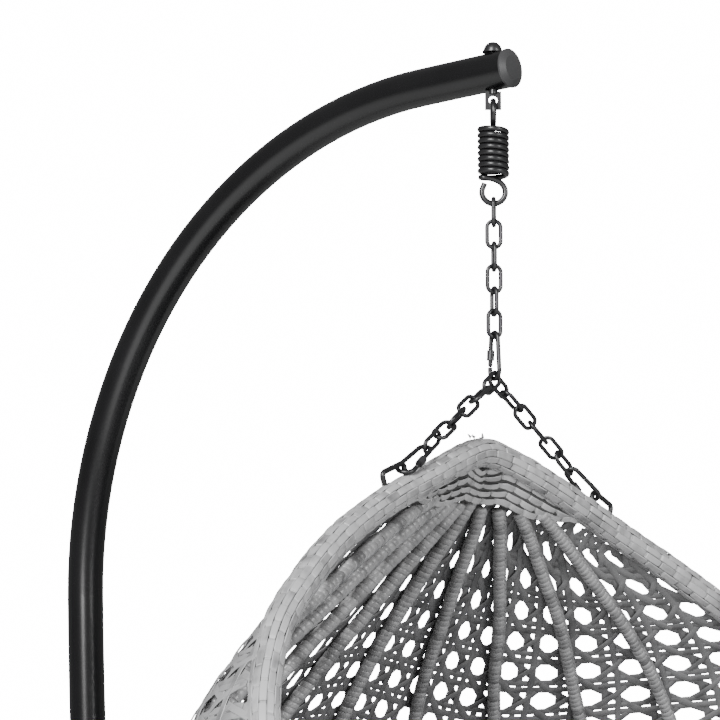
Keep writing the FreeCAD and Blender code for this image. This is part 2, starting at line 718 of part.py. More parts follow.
def net_shell():
    """The woven net as one thin closed sheet between the rims."""
    last = len(STATIONS) - 1
    route = rim_route()
    places = [0.9 + (last - 1.36) * i / 34 for i in range(35)]
    reaches = [net_reach(place, route) for place in places]
    for _ in range(2):
        padded = [reaches[0]] + reaches + [reaches[-1]]
        reaches = [(a + 2 * b + c) / 4 for a, b, c in zip(padded, padded[1:], padded[2:])]
    acrosses = [-1 + i / 11 for i in range(23)]
    skins = []
    for lift in (size("net_thickness") / 2, -size("net_thickness") / 2):
        skin = Part.BSplineSurface()
        skin.interpolate([[shell_point(a * r, p, lift) for p, r in zip(places, reaches)] for a in acrosses])
        skins.append(skin)
    inner, outer = skins
    faces = [inner.toShape(), outer.toShape()]
    for low, high in (
        (inner.uIso(0.0), outer.uIso(0.0)),
        (inner.uIso(1.0), outer.uIso(1.0)),
        (inner.vIso(0.0), outer.vIso(0.0)),
        (inner.vIso(1.0), outer.vIso(1.0)),
    ):
        faces.append(Part.makeRuledSurface(low.toShape(), high.toShape(), 1))
    sewn = Part.makeCompound(faces)
    sewn.sewShape()
    solid = Part.makeSolid(sewn)
    if solid.Volume < 0:
        solid.reverse()
    return solid


def loop_feet(side):
    """The two points on the rim's centreline where a loop stands, and its outward direction."""
    place = size("loop_station")
    base = shell_point(side, place)
    ahead = shell_point(side, place + 0.1) - shell_point(side, place - 0.1)
    along = Vector(ahead.x, 0, ahead.z).normalize()
    out = along.cross(Y_AXIS * side).normalize()
    if out.z < 0:
        out = out * -1
    return [(base, out), (base + along * size("loop_length"), out)]


def rim_loop(side):
    """The steel staple on top of the rim that a branch carabiner hooks into, and its seat point."""
    (base, out), (far, _) = loop_feet(side)
    foot = size("rim_tube") / 2 + 0.5
    height = size("loop_height")
    route = [base + out * foot, base + out * height, far + out * height, far + out * foot]
    path = rounded_path(route, share=0.3)
    return path, base + out * size("loop_seat")


def make_basket():
    """The rim with its wicker wrapping, the ribs, the net and the loops for the carabiners."""
    rim = rounded_path(rim_route(), closed=True)
    sub_part(pipe("RimTube", rim, "rim_tube", "rim_tube - 2 * rim_wall"), "rim_tube")
    wrap = pipe("RimWrap", rim, "rim_wrap", "rim_tube + 0.2")
    for side in (-1, 1):
        for index, (foot, out) in enumerate(loop_feet(side)):
            hole = cylinder(f"LoopHole{side}{index}", facing(foot, out), "loop_wire + 0.6", "rim_wrap")
            wrap = cut(f"RimWrapCut{side}{index}", wrap, hole)
    sub_part(wrap, "rim_wicker")
    for number in range(-4, 5):
        path = rounded_path(rib_route(number))
        rib = pipe(f"Rib{number + 5}", path, "rib_diameter", "rib_bore")
        sub_part(rib, f"rib_{number + 5}")
    net = doc.addObject("Part::Feature", "Net")
    net.Shape = net_shell()
    sub_part(net, "basket_net")
    seats = {}
    for side, label in ((-1, "left"), (1, "right")):
        path, seats[label] = rim_loop(side)
        sub_part(sweep(f"Loop{label}", path, "loop_wire"), f"rim_loop_{label}")
    return seats


def cushion(name, label, place, length, width, height, edge):
    """A plain rounded block with the size and place of one cushion."""
    block = doc.addObject("Part::Box", f"{name}Block")
    block.Length, block.Width, block.Height = length, width, height
    block.Placement = place.multiply(Placement(Vector(-length / 2, -width / 2, 0), Rotation()))
    doc.recompute()
    soft = doc.addObject("Part::Fillet", name)
    soft.Base = block
    soft.Edges = [(index + 1, edge, edge) for index in range(len(block.Shape.Edges))]
    return sub_part(soft, label)


def make_cushions():
    """A wide seat cushion and two back cushions that lean against the ribs."""
    seat_place = Placement(Vector(0, -95, 462), Rotation(X_AXIS, 3))
    cushion("SeatCushion", "seat_cushion", seat_place, 630, 430, 110, 50)
    for side, label in ((-1, "left"), (1, "right")):
        turn = Rotation(Z_AXIS, -24 * side).multiply(Rotation(X_AXIS, -12))
        place = Placement(Vector(205 * side, 95, 590), turn)
        cushion(f"BackCushion{label}", f"back_cushion_{label}", place, 380, 120, 400, 48)


make_base()
make_pole()
make_hanger()
sub_part(sweep("Spring", spring_path(), "spring_wire"), "spring")
main_top = make_main_chain()
main_low = carabiner(
    "MainCarabiner", "main_carabiner", main_top, Z_AXIS * -1, flat_direction(size("carabiner_heading")),
    size("main_carabiner"),
)
seats = make_basket()
make_branch(-1, "left", main_low, seats["left"])
make_branch(1, "right", main_low, seats["right"])
make_cushions()
doc.recompute()

problems = [thing.Name for thing in doc.Objects if {"Invalid", "Error"} & set(thing.State)]
for thing in SUB_PARTS:
    if thing.Shape.isNull() or not thing.Shape.isValid() or not thing.Shape.Solids:
        problems.append(thing.Label)
if problems:
    raise RuntimeError(f"these did not build: {problems}")

os.makedirs("parts", exist_ok=True)
for thing in SUB_PARTS:
    # One line per sub-part: its name, its number of solids and its volume in cubic centimetres.
    thing.Shape.exportStep(f"parts/{thing.Label}.step")
    print(thing.Label, len(thing.Shape.Solids), round(thing.Shape.Volume / 1000.0, 2))
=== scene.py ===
import json
import math
import random

import bpy
import numpy as np
from mathutils import Euler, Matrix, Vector

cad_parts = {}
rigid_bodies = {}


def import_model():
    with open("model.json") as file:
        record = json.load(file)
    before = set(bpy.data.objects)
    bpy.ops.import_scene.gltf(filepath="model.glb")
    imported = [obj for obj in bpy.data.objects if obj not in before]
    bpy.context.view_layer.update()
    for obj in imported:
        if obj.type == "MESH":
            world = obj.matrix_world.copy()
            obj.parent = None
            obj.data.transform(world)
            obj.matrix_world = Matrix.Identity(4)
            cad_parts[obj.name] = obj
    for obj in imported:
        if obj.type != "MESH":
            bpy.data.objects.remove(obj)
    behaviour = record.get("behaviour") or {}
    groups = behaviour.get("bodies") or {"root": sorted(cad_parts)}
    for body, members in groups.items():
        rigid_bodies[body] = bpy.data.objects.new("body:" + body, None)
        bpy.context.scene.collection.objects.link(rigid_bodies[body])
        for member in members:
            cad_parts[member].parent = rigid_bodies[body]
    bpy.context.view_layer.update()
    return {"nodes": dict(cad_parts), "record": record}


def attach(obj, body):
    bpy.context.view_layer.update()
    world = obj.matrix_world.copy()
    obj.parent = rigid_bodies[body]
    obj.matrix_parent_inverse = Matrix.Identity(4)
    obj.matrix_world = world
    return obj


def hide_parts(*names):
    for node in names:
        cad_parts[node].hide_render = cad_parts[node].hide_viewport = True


for leftover in list(bpy.data.objects):
    bpy.data.objects.remove(leftover)
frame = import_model()

# The basket's shell, as in the CAD. Metres. One row per station from the top to the front lip: the
# rim's half width, depth and height, the middle line's depth and height, the cross curve's fullness,
# how far apart the ribs run as a share of the half width, and how much the sides flare out.
STATIONS = np.array(
    [
        (0.036, 0.012, 1.450, 0.024, 1.436, 1.35, 0.15, 0.0),
        (0.082, 0.003, 1.435, 0.034, 1.422, 1.37, 0.15, 0.0),
        (0.148, -0.006, 1.410, 0.048, 1.402, 1.39, 0.158, 0.0),
        (0.250, -0.016, 1.370, 0.075, 1.368, 1.41, 0.161, 0.0),
        (0.363, -0.039, 1.320, 0.119, 1.318, 1.47, 0.168, 0.0),
        (0.473, -0.072, 1.260, 0.169, 1.258, 1.6, 0.178, 0.02),
        (0.572, -0.107, 1.190, 0.221, 1.188, 1.9, 0.189, 0.06),
        (0.645, -0.152, 1.090, 0.280, 1.088, 2.4, 0.2115, 0.09),
        (0.682, -0.212, 0.955, 0.330, 0.953, 2.8, 0.2145, 0.09),
        (0.678, -0.270, 0.820, 0.347, 0.800, 2.9, 0.2145, 0.08),
        (0.640, -0.316, 0.705, 0.326, 0.640, 2.8, 0.2145, 0.06),
        (0.572, -0.347, 0.613, 0.254, 0.485, 2.7, 0.2145, 0.04),
        (0.478, -0.365, 0.550, 0.112, 0.366, 2.6, 0.2145, 0.02),
        (0.378, -0.374, 0.512, -0.080, 0.320, 2.5, 0.2145, 0.0),
        (0.290, -0.379, 0.490, -0.262, 0.354, 2.3, 0.2145, 0.0),
        (0.215, -0.382, 0.478, -0.385, 0.468, 2.0, 0.2145, 0.0),
    ]
)
LAST = len(STATIONS) - 1
RIB_RADIUS = 0.0088
RIB_LIFT = 0.0119
SHARP_ANGLE = math.radians(36)

# A flat strand's cross-section, as shares of half its width and half its thickness.
STRAND_OUTLINE = ((-1, 0.2), (-0.8, 0.9), (0, 1), (0.8, 0.9), (1, 0.2), (0.88, -1), (-0.88, -1))


def unit(vectors):
    """Vectors scaled to length one, row by row."""
    return vectors / np.maximum(np.linalg.norm(vectors, axis=-1, keepdims=True), 1e-12)


def smooth_rows(rows, places):
    """Values between rows of numbers, on a smooth curve through the rows."""
    last = len(rows) - 1
    index = np.clip(places.astype(int), 0, last - 1)
    part = (places - index)[:, None]
    before, here, there, after = (rows[np.clip(index + step, 0, last)] for step in (-1, 0, 1, 2))
    sag = 2 * before - 5 * here + 4 * there - after
    rise = 3 * (here - there) + after - before
    return here + 0.5 * part * ((there - before) + part * (sag + part * rise))


def shell(across, places):
    """Points of the basket's shell; across runs from -1 to 1 between the rims."""
    half, rim_y, rim_z, back_y, back_z, fullness, _, flare = smooth_rows(STATIONS, places).T
    depth = 1 - np.abs(across) ** fullness
    wide = half * across * (1 + 4 * flare * across**4 * (1 - across**4))
    return np.stack([wide, rim_y + (back_y - rim_y) * depth, rim_z + (back_z - rim_z) * depth], axis=1)


def shell_normals(across, places):
    """Unit vectors that point into the basket."""
    step = 0.02
    wide = shell(np.minimum(1, across + step), places) - shell(np.maximum(-1, across - step), places)
    long = shell(across, np.minimum(LAST, places + step)) - shell(across, np.maximum(0, places - step))
    return unit(np.cross(long, wide))


def rib_across(number, places):
    """How far across a rib lies; the ribs bunch inward at the top and outward lower down."""
    spread = smooth_rows(STATIONS, places)[:, 6]
    bunch = 0.045 - 2.0 * (spread - 0.15)
    return spread * number * (1 + bunch * (abs(number) - 2.5))


def even_path(points, spacing, closed=False):
    """The same path with points an even distance apart."""
    if closed:
        points = np.vstack([points, points[:1]])
    run = np.concatenate([[0], np.cumsum(np.linalg.norm(np.diff(points, axis=0), axis=1))])
    count = max(2, int(round(run[-1] / spacing)))
    stops = np.linspace(0, run[-1], count + 1)
    path = np.stack([np.interp(stops, run, points[:, axis]) for axis in range(3)], axis=1)
    return path[:-1] if closed else path


def tangents(path, closed=False):
    """The direction along a path at each of its points."""
    if closed:
        return unit(np.roll(path, -1, axis=0) - np.roll(path, 1, axis=0))
    return unit(np.gradient(path, axis=0))


def grid_faces(rows, columns, closed_rows=False, closed_columns=True):
    """Quads over a grid of points that is stored row by row."""
    row = np.arange(rows if closed_rows else rows - 1)
    column = np.arange(columns if closed_columns else columns - 1)
    here = (row[:, None] * columns + column[None, :]).ravel()
    beside = (row[:, None] * columns + (column[None, :] + 1) % columns).ravel()
    next_row = (row + 1) % rows
    below = (next_row[:, None] * columns + column[None, :]).ravel()
    across = (next_row[:, None] * columns + (column[None, :] + 1) % columns).ravel()
    return np.stack([here, beside, across, below], axis=1)


class Builder:
    """Collects many swept strands into one mesh."""

    def __init__(self):
        self.points = []
        self.quads = []
        self.caps = []
        self.marks = []
        self.slots = []
        self.count = 0

    def sweep(self, rings, closed=False, marks=None, slots=None):
        """Adds one strand from its cross-section rings. marks are (along, across) for each point."""
        rows, columns = rings.shape[:2]
        quads = grid_faces(rows, columns, closed_rows=closed)
        self.points.append(rings.reshape(-1, 3))
        self.quads.append(quads + self.count)
        if marks is None:
            marks = np.zeros((rows, columns, 2))
        self.marks.append(marks.reshape(-1, 2))
        pattern = np.zeros(columns, int) if slots is None else np.array(slots)
        self.slots.append(np.tile(pattern, rows if closed else rows - 1))
        if not closed:
            self.caps.append(self.count + np.arange(columns)[::-1])
            self.caps.append(self.count + (rows - 1) * columns + np.arange(columns))
        self.count += rows * columns

    def build(self, name, body, slot, materials, replaces=()):
        """Makes the object and hangs it on its body."""
        points = np.vstack(self.points)
        quads = np.vstack(self.quads)
        faces = quads.tolist() + [cap.tolist() for cap in self.caps]
        mesh = bpy.data.meshes.new(name)
        mesh.from_pydata(points.tolist(), [], faces)
        marks = np.vstack(self.marks)
        layer = mesh.uv_layers.new(name="strand")
        corners = np.empty(len(mesh.loops), dtype=np.int64)
        mesh.loops.foreach_get("vertex_index", corners)
        layer.data.foreach_set("uv", marks[corners].ravel())
        for material in materials:
            mesh.materials.append(material)
        slots = np.concatenate(self.slots + [np.zeros(len(self.caps), int)])
        mesh.polygons.foreach_set("material_index", slots)
        mesh.polygons.foreach_set("use_smooth", np.ones(len(mesh.polygons), bool))
        mesh.update()
        mesh.set_sharp_from_angle(angle=SHARP_ANGLE)
        piece = bpy.data.objects.new(name, mesh)
        bpy.context.collection.objects.link(piece)
        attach(piece, body)
        if replaces:
            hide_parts(*replaces)


def flat_strand(builder, path, normals, width, thickness, crown=0.3, closed=False, slots=None, start=0.0):
    """A flat, slightly crowned strand along a path, lying square to the normals."""
    along = tangents(path, closed)
    side = unit(np.cross(along, normals))
    up = np.cross(side, along)
    width = np.broadcast_to(width, len(path))[:, None]
    rings = []
    marks = []
    run = start + np.concatenate([[0], np.cumsum(np.linalg.norm(np.diff(path, axis=0), axis=1))])
    for across, height in STRAND_OUTLINE:
        lift = thickness / 2 * height + (crown * thickness if abs(across) < 0.9 and height > 0 else 0)
        rings.append(path + side * (width / 2 * across) + up * lift)
        marks.append(np.stack([run, np.full(len(path), across)], axis=1))
    builder.sweep(np.stack(rings, axis=1), closed, np.stack(marks, axis=1), slots)


# Materials


def tree_for(name):
    """A new node material, its nodes, its links and its main shader."""
    material = bpy.data.materials.new(name)
    material.use_nodes = True
    tree = material.node_tree
    return material, tree, tree.nodes["Principled BSDF"]


def node(tree, kind, **settings):
    """A node with its inputs and properties set."""
    made = tree.nodes.new(kind)
    for key, value in settings.items():
        if key in made.inputs:
            made.inputs[key].default_value = value
        else:
            setattr(made, key, value)
    return made


def ramp(tree, source, low, high, start=0.3, end=0.7):
    """A colour ramp between two colours, driven by a value."""
    made = tree.nodes.new("ShaderNodeValToRGB")
    made.color_ramp.elements[0].position = start
    made.color_ramp.elements[1].position = end
    made.color_ramp.elements[0].color = (*low, 1)
    made.color_ramp.elements[1].color = (*high, 1)
    tree.links.new(source, made.inputs["Fac"])
    return made.outputs["Color"]


def bump(tree, shader, source, strength, distance):
    """Raises the surface by a value."""
    made = node(tree, "ShaderNodeBump", Strength=strength, Distance=distance)
    tree.links.new(source, made.inputs["Height"])
    tree.links.new(made.outputs["Normal"], shader.inputs["Normal"])


def paint(name, low, high, roughness=0.35, grain=900.0, metallic=0.0):
    """Powder coat: slightly uneven colour and a fine orange-peel surface."""
    material, tree, shader = tree_for(name)
    place = node(tree, "ShaderNodeTexCoord")
    cloudy = node(tree, "ShaderNodeTexNoise", Scale=9.0, Detail=3.0)
    fine = node(tree, "ShaderNodeTexNoise", Scale=grain, Detail=2.0)
    for texture in (cloudy, fine):
        tree.links.new(place.outputs["Object"], texture.inputs["Vector"])
    tree.links.new(ramp(tree, cloudy.outputs["Fac"], low, high), shader.inputs["Base Color"])
    rough = node(tree, "ShaderNodeMapRange", **{"To Min": roughness - 0.06, "To Max": roughness + 0.08})
    tree.links.new(fine.outputs["Fac"], rough.inputs["Value"])
    tree.links.new(rough.outputs["Result"], shader.inputs["Roughness"])
    shader.inputs["Metallic"].default_value = metallic
    bump(tree, shader, fine.outputs["Fac"], 0.25, 0.00005)
    return material


def wicker(name, low, high, roughness=0.42):
    """Flat resin wicker: every strand its own shade, with fine streaks along it."""
    material, tree, shader = tree_for(name)
    mark = node(tree, "ShaderNodeUVMap", uv_map="strand")
    stretch = node(tree, "ShaderNodeMapping")
    stretch.inputs["Scale"].default_value = (14.0, 5.0, 1.0)
    tree.links.new(mark.outputs["UV"], stretch.inputs["Vector"])
    fibre = node(tree, "ShaderNodeTexNoise", Scale=1.0, Detail=4.0, Roughness=0.6)
    tree.links.new(stretch.outputs["Vector"], fibre.inputs["Vector"])
    place = node(tree, "ShaderNodeTexCoord")
    patch = node(tree, "ShaderNodeTexNoise", Scale=38.0, Detail=2.0)
    tree.links.new(place.outputs["Object"], patch.inputs["Vector"])
    own = node(tree, "ShaderNodeNewGeometry")
    blend = node(tree, "ShaderNodeMath", operation="MULTIPLY_ADD")
    tree.links.new(own.outputs["Random Per Island"], blend.inputs[0])
    blend.inputs[1].default_value = 0.45
    tree.links.new(patch.outputs["Fac"], blend.inputs[2])
    mixed = node(tree, "ShaderNodeMath", operation="MULTIPLY_ADD")
    tree.links.new(fibre.outputs["Fac"], mixed.inputs[0])
    mixed.inputs[1].default_value = 0.5
    tree.links.new(blend.outputs["Value"], mixed.inputs[2])
    tree.links.new(ramp(tree, mixed.outputs["Value"], low, high, 0.55, 1.25), shader.inputs["Base Color"])
    shader.inputs["Roughness"].default_value = roughness
    bump(tree, shader, fibre.outputs["Fac"], 0.35, 0.0004)
    return material


def cloth(name, low, high):
    """Woven polyester with a visible weave."""
    material, tree, shader = tree_for(name)
    place = node(tree, "ShaderNodeTexCoord")
    waves = []
    for direction in ("X", "Z"):
        wave = node(tree, "ShaderNodeTexWave", Scale=260.0, Distortion=1.2, Detail=1.0)
        wave.bands_direction = direction
        tree.links.new(place.outputs["Object"], wave.inputs["Vector"])
        waves.append(wave)
    weave = node(tree, "ShaderNodeMath", operation="ADD")
    tree.links.new(waves[0].outputs["Fac"], weave.inputs[0])
    tree.links.new(waves[1].outputs["Fac"], weave.inputs[1])
    cloudy = node(tree, "ShaderNodeTexNoise", Scale=16.0, Detail=4.0)
    tree.links.new(place.outputs["Object"], cloudy.inputs["Vector"])
    mixed = node(tree, "ShaderNodeMath", operation="MULTIPLY_ADD")
    tree.links.new(weave.outputs["Value"], mixed.inputs[0])
    mixed.inputs[1].default_value = 0.16
    tree.links.new(cloudy.outputs["Fac"], mixed.inputs[2])
    tree.links.new(ramp(tree, mixed.outputs["Value"], low, high, 0.4, 0.95), shader.inputs["Base Color"])
    shader.inputs["Roughness"].default_value = 0.9
    bump(tree, shader, weave.outputs["Value"], 0.4, 0.0006)
    return material


BLACK = paint("powder_black", (0.0025, 0.0025, 0.0028), (0.005, 0.005, 0.0055), 0.24)
CAP = paint("cap_plastic", (0.028, 0.028, 0.029), (0.045, 0.045, 0.046), 0.34, 600.0)
CHAIN = paint("chain_black", (0.007, 0.007, 0.008), (0.020, 0.020, 0.021), 0.34, 420.0, 0.2)
SPRING = paint("spring_black", (0.005, 0.005, 0.0055), (0.014, 0.014, 0.015), 0.32, 420.0, 0.1)
ZINC = paint("screw_zinc", (0.06, 0.06, 0.062), (0.16, 0.16, 0.165), 0.3, 500.0, 0.8)
STEEL = paint("bare_steel", (0.32, 0.32, 0.33), (0.45, 0.45, 0.46), 0.35, 500.0, 0.9)
RUBBER = paint("foot_rubber", (0.012, 0.012, 0.012), (0.022, 0.022, 0.022), 0.75, 500.0)
# The rim's wicker, set a little lighter than the ribs and the net as painted light for the stronger light
# on the rim; its streaks and random tone are the strands' own.
RIM_WICKER_PAINTED_LIGHT = wicker("wicker_rim_with_painted_light", (0.12, 0.12, 0.122), (0.34, 0.34, 0.344), 0.38)
# The rim's core and the strips behind the header, near black as painted shade, so the gaps between strands
# read dark.
CORE_PAINTED_SHADE = wicker("wicker_core_painted_shade", (0.018, 0.018, 0.018), (0.04, 0.04, 0.04))
RIB = wicker("wicker_rib", (0.09, 0.09, 0.092), (0.25, 0.25, 0.253), 0.3)
# The net in two copies of one wicker: a darker one as painted shade on the faces toward the basket's
# inside, a lighter one as painted light on the faces toward the outside.
NET_INSIDE_PAINTED_SHADE = wicker("wicker_net_inside_painted_shade", (0.05, 0.05, 0.051), (0.12, 0.12, 0.122), 0.4)
NET_OUTSIDE_PAINTED_LIGHT = wicker("wicker_net_outside_painted_light", (0.12, 0.12, 0.122), (0.28, 0.28, 0.284), 0.42)
FABRIC = cloth("cushion_cloth", (0.10, 0.105, 0.115), (0.17, 0.175, 0.19))

NODE_MATERIALS = {
    "stand_paint": BLACK,
    "inner_steel": STEEL,
    "fastener_black": CHAIN,
    "hanger_paint": SPRING,
    "cap_plastic": CAP,
    "foot_rubber": RUBBER,
    "spring_paint": SPRING,
    "chain_paint": CHAIN,
    "carabiner_paint": CHAIN,
    "screw_zinc": ZINC,
    "frame_paint": SPRING,
    "wicker_light": RIM_WICKER_PAINTED_LIGHT,
    "wicker_rib": RIB,
    "wicker_net": NET_OUTSIDE_PAINTED_LIGHT,
    "cushion_fabric": FABRIC,
}
for subpart in frame["record"]["subparts"]:
    part = frame["nodes"][subpart["node"]]
    part.data.materials.clear()
    part.data.materials.append(NODE_MATERIALS[subpart["material_slot"]])


# The rim


def rim_path():
    """The rim's closed centreline."""
    places = np.linspace(0, LAST, 16 * LAST + 1)
    right = shell(np.ones(len(places)), places)
    lip = shell(np.linspace(0.9, -0.9, 19), np.full(19, float(LAST)))
    left = right[::-1] * (-1, 1, 1)
    top = np.array([(-0.014, 0.0142, 1.4553), (0.0, 0.0150, 1.4560), (0.014, 0.0142, 1.4553)])
    path = even_path(np.vstack([right, lip, left, top]), 0.004, closed=True)
    for _ in range(10):
        path = (np.roll(path, 1, axis=0) + 2 * path + np.roll(path, -1, axis=0)) / 4
    return path


RIM_PATH = rim_path()
FACING = unit(np.array([[0.0, -0.92, -0.38]]))
BRICK_SPACING = 0.0025
BRICK_THICKNESS = 0.0014


def rim_frames(path):
    """A closed path with two directions across it at each point."""
    along = tangents(path, True)
    front = unit(FACING - along * (along @ FACING.T))
    return path, front, np.cross(along, front)


def around_rim(angle, radius, frames, index=slice(None)):
    """Points and outward directions at an angle round the rim's centreline."""
    path, front, side = frames
    outward = front[index] * np.cos(angle) + side[index] * np.sin(angle)
    return path[index] + outward * radius, outward


def brick_row(rng, builder, place, count, period, shift, width, bulge, closed):
    """One lengthwise strand that bulges in bricks and dips under a short cross strand between them.

    place(height) gives the strand's points and outward directions at a height over the weave. The
    result lists the points at which the strand dips.
    """
    dip_reach, dip_depth, dip_narrowing = 0.0024, 0.0026, 0.0012
    bricks = max(2, int(round(count * BRICK_SPACING / period)))
    phase = np.arange(count) / count * bricks
    knots = [rng.uniform(-0.09, 0.09) for _ in range(bricks)]
    wander = np.interp(phase, np.arange(bricks + 1), knots + knots[:1])
    turn = phase + shift + wander
    brick = turn.astype(int) % bricks
    local = turn % 1.0
    gap = np.minimum(local, 1 - local) * period
    dip = np.clip(1 - gap / dip_reach, 0, 1) ** 1.3
    swell = np.sin(np.pi * local) ** 0.6
    own = np.array([rng.uniform(-0.0005, 0.0005) for _ in range(bricks + 2)])[brick]
    own = np.convolve(np.pad(own, 1, mode="wrap"), (0.25, 0.5, 0.25), mode="valid")
    path, outward = place((bulge * swell - dip_depth * dip + own)[:, None])
    share = np.array([rng.uniform(0.90, 1.04) for _ in range(bricks + 2)])[brick]
    widths = width * share * (0.93 + 0.07 * swell) - dip_narrowing * dip
    flat_strand(builder, path, outward, widths, BRICK_THICKNESS, closed=closed)
    return [i for i in range(1, count - 1) if local[i - 1] > 0.5 and local[i] < 0.5]


def make_rim():
    """The rim's weave over a core coloured near black as painted shade, so the gaps between the strands
    read dark: lengthwise strands that dip under short cross strands.
    """
    rng = random.Random(7)
    rows, rows_per_piece, core_sides = 12, 3, 18
    core_radius, weave_radius = 0.0150, 0.0164
    frames = rim_frames(even_path(RIM_PATH, BRICK_SPACING, closed=True))
    count = len(frames[0])
    angles = [2 * math.pi * side / core_sides for side in range(core_sides)]
    rings = np.stack([around_rim(angle, core_radius, frames)[0] for angle in angles], axis=1)
    run, turn = np.meshgrid(np.arange(count) / 12.0, np.arange(core_sides) / 3.0, indexing="ij")
    core = Builder()
    core.sweep(rings[::2], True, np.stack([run, turn], axis=2)[::2])
    core.build("rim_core", "basket", "wicker_light", [CORE_PAINTED_SHADE], ["rim_wicker"])
    for row in range(rows):
        if row % rows_per_piece == 0:
            builder = Builder()
        angle = 2 * math.pi * (row + 0.5) / rows
        shift = 0.55 * row + rng.uniform(-0.08, 0.08)

        def place(height, angle=angle):
            return around_rim(angle, weave_radius + height, frames)

        starts = brick_row(rng, builder, place, count, 0.031, shift, 0.0093, 0.0009, True)
        for start in starts:
            bends = np.linspace(-0.23, 0.23, 5)
            tab = [around_rim(angle + bend, weave_radius, frames, [start]) for bend in bends]
            points, directions = (np.vstack(parts) for parts in zip(*tab))
            flat_strand(builder, points, directions, 0.0030, 0.0010)
        if row % rows_per_piece == rows_per_piece - 1:
            builder.build(f"rim_weave_{row // rows_per_piece + 1}", "basket", "wicker_light", [RIM_WICKER_PAINTED_LIGHT])


def make_ribs():
    """Each rib wrapped tightly with one strand."""
    rng = random.Random(11)
    sides = 16
    pitch = 0.0079
    rows_per_turn = 6
    profile = np.array([-0.0007, 0.0002, 0.00035, 0.00035, 0.00025, 0.0001])
    for number in range(-4, 5):
        first = 1.8 + (0.3 + 0.06 * abs(number) if number else 0.0)
        places = np.linspace(first, LAST - 0.28, 500)
        across = rib_across(number, places)
        line = shell(across, places) + shell_normals(across, places) * RIB_LIFT
        path = even_path(line, pitch / rows_per_turn)
        along = tangents(path)
        side = unit(np.cross(along, np.array([[1.0, 0.0, 0.0]])))
        other = np.cross(along, side)
        count = len(path)
        steps = np.arange(count)
        turn = steps // rows_per_turn
        swell = np.array([rng.uniform(-0.00015, 0.0002) for _ in range(count // rows_per_turn + 2)])
        lean = np.array([rng.uniform(-0.9, 0.9) for _ in range(count // rows_per_turn + 2)])
        radius = RIB_RADIUS + profile[steps % rows_per_turn] + swell[turn]
        rings = []
        marks = []
        for column in range(sides):
            angle = 2 * math.pi * column / sides
            climb = rows_per_turn * column / sides + lean[turn] * math.cos(angle)
            place = np.clip(steps + climb, 0, count - 1)
            low = place.astype(int)
            part = (place - low)[:, None]
            centre = path[low] * (1 - part) + path[np.minimum(low + 1, count - 1)] * part
            direction = side[low] * math.cos(angle) + other[low] * math.sin(angle)
            rings.append(centre + direction * radius[:, None])
            run = column * 0.0035 + turn * 0.056
            marks.append(np.stack([run, steps / rows_per_turn % 1.0 * 2 - 1], axis=1))
        builder = Builder()
        builder.sweep(np.stack(rings, axis=1), False, np.stack(marks, axis=1))
        name = number + 5
        builder.build(f"rib_wrap_{name}", "basket", "wicker_rib", [RIB], [f"rib_{name}"])


# The cane net


class Lattice:
    """Real lengths over the shell: across from the middle line, and along from the top."""

    ROWS = 200
    COLUMNS = 161
    RIM_GAP = 0.0150

    def __init__(self):
        self.places = np.linspace(0.35, LAST - 0.02, self.ROWS)
        acrosses = np.linspace(0, 1, self.COLUMNS)
        grid_p, grid_u = np.meshgrid(self.places, acrosses, indexing="ij")
        points = shell(grid_u.ravel(), grid_p.ravel()).reshape(self.ROWS, self.COLUMNS, 3)
        steps = np.linalg.norm(np.diff(points, axis=1), axis=2)
        self.wide = np.concatenate([np.zeros((self.ROWS, 1)), np.cumsum(steps, axis=1)], axis=1)
        self.edge = self.wide[:, -1]
        middle = points[:, 0] * 0.6 + points[:, self.COLUMNS // 2] * 0.4
        self.long = np.concatenate([[0], np.cumsum(np.linalg.norm(np.diff(middle, axis=0), axis=1))])
        gaps = np.full((self.ROWS, self.COLUMNS), 1.0)
        for start in range(0, len(RIM_PATH), 40):
            near = RIM_PATH[start : start + 40 : 2]
            gaps = np.minimum(gaps, np.linalg.norm(points[:, :, None] - near, axis=3).min(axis=2))
        self.inside = gaps > self.RIM_GAP

    def find(self, wide, long):
        """The shell coordinates at real lengths, and whether they are on the net."""
        place_row = np.interp(long, self.long, np.arange(float(self.ROWS)))
        low = np.clip(place_row.astype(int), 0, self.ROWS - 2)
        part = place_row - low
        across = np.empty(len(wide))
        good = (long >= 0) & (long <= self.long[-1])
        for row in np.unique(low):
            mine = low == row
            share = part[mine][:, None]
            widths = self.wide[row] * (1 - share) + self.wide[row + 1] * share
            target = np.abs(wide[mine])[:, None]
            index = np.clip((widths < target).sum(axis=1) - 1, 0, self.COLUMNS - 2)
            picks = np.arange(len(index))
            before, after = widths[picks, index], widths[picks, index + 1]
            step = np.clip((target[:, 0] - before) / np.maximum(after - before, 1e-9), 0, 1)
            across[mine] = (index + step) / (self.COLUMNS - 1)
            good[mine] &= (target[:, 0] <= widths[:, -1]) & self.inside[row, index + 1]
        return across * np.sign(wide), np.interp(long, self.long, self.places), good


# The rows of the header under the top of the rim: how far below the rim, how far each reaches to
# the sides, and how far it stands into the basket.
HEADER_ROWS = (
    (0.0130, 0.240, 0.0030),
    (0.0215, 0.225, 0.0070),
    (0.0300, 0.205, 0.0115),
    (0.0385, 0.180, 0.0160),
    (0.0470, 0.150, 0.0195),
)


